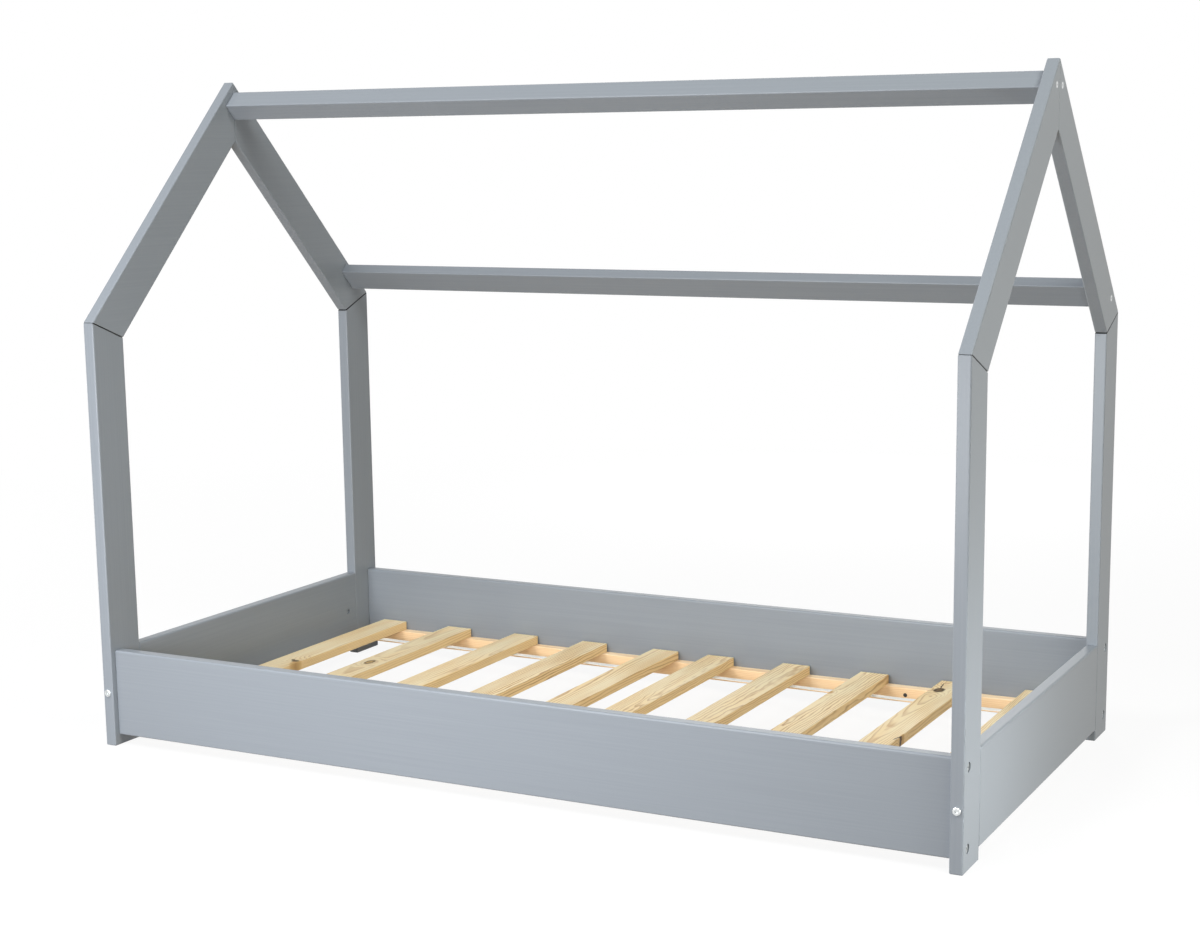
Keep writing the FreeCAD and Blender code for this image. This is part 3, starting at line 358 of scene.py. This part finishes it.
# Ribbons: white polyester webbing in plain weave. The eye gets a soft white with a fine even texture.

WEBBING_DEEP, WEBBING = "#EFEEEB", "#FCFCFA"
# Spacing of the threads across the ribbon and along it, and height of the weave
THREADS_ACROSS, THREADS_ALONG, WEAVE_HEIGHT = 0.9 * MM, 1.2 * MM, 0.05 * MM
# Faces along and across the ribbon, drop in the middle of a gap, and the cloth's share of the space it has
RIBBON_FACES, RIBBON_SAG, CLOTH_SHARE = (140, 4), 0.5 * MM, 0.6


def woven_ribbon():
    """Plain weave on the ribbon's own flat coordinates, in metres."""
    material, tree = new_material("woven_polyester_webbing")
    flat = add(tree, "UVMap", uv_map="flat").outputs["UV"]
    parts = add(tree, "SeparateXYZ", {"Vector": flat})
    waves = []
    for letter, spacing in (("Y", THREADS_ACROSS), ("X", THREADS_ALONG)):
        turns = add(tree, "Math", {0: parts.outputs[letter], 1: 2 * math.pi / spacing}, operation="MULTIPLY")
        waves.append(add(tree, "Math", {0: turns.outputs["Value"]}, operation="SINE").outputs["Value"])
    weave = add(tree, "Math", {0: waves[0], 1: waves[1]}, operation="MULTIPLY").outputs["Value"]
    height = add(tree, "MapRange", {"Value": weave, "From Min": -1.0, "From Max": 1.0}).outputs["Result"]
    colour = add(tree, "ValToRGB", {"Fac": height}, ((0.0, WEBBING_DEEP), (1.0, WEBBING))).outputs["Color"]
    finish_surface(tree, {"Base Color": colour, "Roughness": 0.75, "Sheen Weight": 0.2}, height, WEAVE_HEIGHT)
    return material


def make_ribbon(roll, side, slats, material):
    """Ribbon stapled flat under each slat, which hangs a little in the gaps between them."""
    node = f"{roll}_roll_{side}_ribbon"
    low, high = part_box(node)
    length, width, thickness = high - low
    mesh = bmesh.new()
    bmesh.ops.create_grid(mesh, x_segments=RIBBON_FACES[0], y_segments=RIBBON_FACES[1], size=0.5)
    bmesh.ops.scale(mesh, vec=(length, width, 1), verts=mesh.verts)
    flat = mesh.loops.layers.uv.new("flat")
    for face in mesh.faces:
        for loop in face.loops:
            loop[flat].uv = loop.vert.co.xy
    bmesh.ops.translate(mesh, vec=((low.x + high.x) / 2, (low.y + high.y) / 2, high.z - thickness / 2),
                        verts=mesh.verts)
    edges = [(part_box(slat)[0].x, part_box(slat)[1].x) for slat in slats]
    for vert in mesh.verts:
        for (_, start), (end, _) in zip(edges, edges[1:]):
            if start < vert.co.x < end:
                share = (vert.co.x - start) / (end - start)
                vert.co.z -= RIBBON_SAG * math.sin(math.pi * share) ** 2
    piece = new_object(node + "_webbing", mesh, material)
    thick = piece.modifiers.new("thickness", "SOLIDIFY")
    thick.thickness = thickness * CLOTH_SHARE
    thick.offset = 0
    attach(piece, f"slat_roll_{roll}")
    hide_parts(node)


webbing = woven_ribbon()
for roll, slats in ROLLS:
    for side in ("front", "rear"):
        make_ribbon(roll, side, slats, webbing)


# Studio: a white paper floor, soft boxes and the photograph's viewing angle

PAPER = "#F8F8F8"
# Paper further off than the lamps reach is shown as plain white, and near paper as mostly white, with some
# shadow: distances from the middle of the bed, and share of plain white nearby
NEAR_PAPER, FAR_PAPER, NEAR_WHITE = 1.0, 4.0, 0.9
# The room beyond is dim, so the floor throws back little light, but a white card under the slats lights their
# sides: half size, depth below the feet, and colour in bounced light
PAPERS = (
    ("studio_floor", (60, 60), 0.2 * MM, "#857763"),
    ("bounce_card", (0.79, 0.39), 0.1 * MM, "#F2F0EC"),
)
ROOM_LIGHT = 0.08


def seen_rays(tree):
    """One for rays that show the studio, from the camera and by way of gloss and glass, and zero for others."""
    path = add(tree, "LightPath").outputs
    seen = add(tree, "Math", {0: path["Is Camera Ray"], 1: path["Is Glossy Ray"]}, operation="MAXIMUM")
    seen = add(tree, "Math", {0: seen.outputs["Value"], 1: path["Is Transmission Ray"]}, operation="MAXIMUM")
    return seen.outputs["Value"]


def studio_paper(name, thrown_back):
    """White paper: the camera and reflections see it near white, with a light shadow of the bed, and its colour
    in bounced light is given."""
    material, tree = new_material("matt_white_paper_" + name)
    place = add(tree, "TexCoord").outputs["Object"]
    reach = add(tree, "VectorMath", {0: place}, operation="LENGTH").outputs["Value"]
    share = add(tree, "MapRange", {"Value": reach, "From Min": NEAR_PAPER, "From Max": FAR_PAPER,
                                   "To Min": NEAR_WHITE, "To Max": 1.0},
                interpolation_type="SMOOTHSTEP").outputs["Result"]
    paper = add(tree, "BsdfDiffuse", {"Color": linear(PAPER)}).outputs["BSDF"]
    white = add(tree, "Emission", {"Strength": 1.0}).outputs["Emission"]
    shown = add(tree, "MixShader", {0: share, 1: paper, 2: white}).outputs["Shader"]
    bounce = add(tree, "BsdfDiffuse", {"Color": linear(thrown_back)}).outputs["BSDF"]
    mixed = add(tree, "MixShader", {0: seen_rays(tree), 1: bounce, 2: shown}).outputs["Shader"]
    add(tree, "OutputMaterial", {"Surface": mixed})
    return material


for name, half_size, depth, thrown_back in PAPERS:
    mesh = bmesh.new()
    bmesh.ops.create_grid(mesh, x_segments=1, y_segments=1, size=1)
    bmesh.ops.scale(mesh, vec=(*half_size, 1), verts=mesh.verts)
    bmesh.ops.translate(mesh, vec=(0, 0, -depth), verts=mesh.verts)
    paper = new_object(name, mesh, studio_paper(name, thrown_back))

world = bpy.data.worlds.new("studio")
world.use_nodes = True
room = world.node_tree
room.nodes.clear()
room_strength = add(room, "MapRange", {"Value": seen_rays(room), "To Min": ROOM_LIGHT,
                                       "To Max": 1.0}).outputs["Result"]
sky = add(room, "Background", {"Color": (1, 1, 1, 1), "Strength": room_strength}).outputs["Background"]
add(room, "OutputWorld", {"Surface": sky})
bpy.context.scene.world = world


def soft_box(name, place, target, size, power, tint, mirrored=True):
    """Rectangular area light aimed at a point. Sheen doesn't show one that isn't mirrored."""
    light = bpy.data.lights.new(name, "AREA")
    light.shape = "RECTANGLE"
    light.size, light.size_y = size
    light.energy = power
    light.color = linear(tint)[:3]
    lamp = bpy.data.objects.new(name, light)
    lamp.location = place
    lamp.visible_camera = False
    lamp.visible_glossy = mirrored
    lamp.rotation_euler = (Vector(target) - Vector(place)).to_track_quat("-Z", "Y").to_euler()
    bpy.context.scene.collection.objects.link(lamp)


# Place, target and size in metres, power in watts
soft_box("high_left_box", (-1.3, -2.3, 3.2), (-0.3, 0.0, 0.2), (1.4, 1.4), 86, "#FDFEFF")
soft_box("high_right_box", (2.4, -1.2, 3.0), (0.0, 0.0, 0.1), (1.4, 1.4), 64, "#FEFFF9")
soft_box("low_front_box", (-0.3, -2.0, 0.5), (-0.3, 0.0, 0.1), (1.6, 0.4), 36, "#F7FAFF")
soft_box("right_box", (4.2, -0.6, 1.0), (0.0, 0.0, 0.1), (1.2, 1.2), 24, "#FFFCEC")
soft_box("low_right_box", (1.35, -0.42, 0.16), (0.82, -0.3, 0.12), (0.3, 0.3), 3.0, "#F6FCFF")
soft_box("rear_box", (-1.2, 4.2, 2.4), (0.0, 0.0, 0.5), (2.0, 1.6), 22, "#FFFFFF")
# The rear and the left, which the photograph doesn't show, get a plain light as well
soft_box("low_rear_box", (-0.8, 3.6, 0.6), (-0.2, 0.4, 0.5), (0.4, 1.0), 56, "#FFFFFF", mirrored=False)
soft_box("low_left_box", (-4.0, 0.4, 0.8), (-0.8, 0.0, 0.5), (1.0, 0.8), 56, "#FFFFFF", mirrored=False)

# Camera solved from the photograph: millimetres, shares of the frame, metres and radians
SENSOR_WIDTH, LENS = 36, 61.15
SHIFT_ACROSS, SHIFT_UP = -0.0357, 0.0351
CAMERA_PLACE = Vector((1.7148, -3.2591, 1.0735))
CAMERA_YAW, CAMERA_PITCH, CAMERA_ROLL = 0.4657, 1.3987, -0.0095

camera_data = bpy.data.cameras.new("photo_camera")
camera_data.sensor_width, camera_data.lens = SENSOR_WIDTH, LENS
camera_data.shift_x, camera_data.shift_y = SHIFT_ACROSS, SHIFT_UP
camera = bpy.data.objects.new("photo_camera", camera_data)
camera_turn = (Matrix.Rotation(CAMERA_YAW, 3, "Z") @ Matrix.Rotation(CAMERA_PITCH, 3, "X")
               @ Matrix.Rotation(CAMERA_ROLL, 3, "Z"))
camera.matrix_world = Matrix.LocRotScale(CAMERA_PLACE, camera_turn, None)
bpy.context.scene.collection.objects.link(camera)
bpy.context.scene.camera = camera
bpy.context.scene.view_settings.view_transform = "Standard"
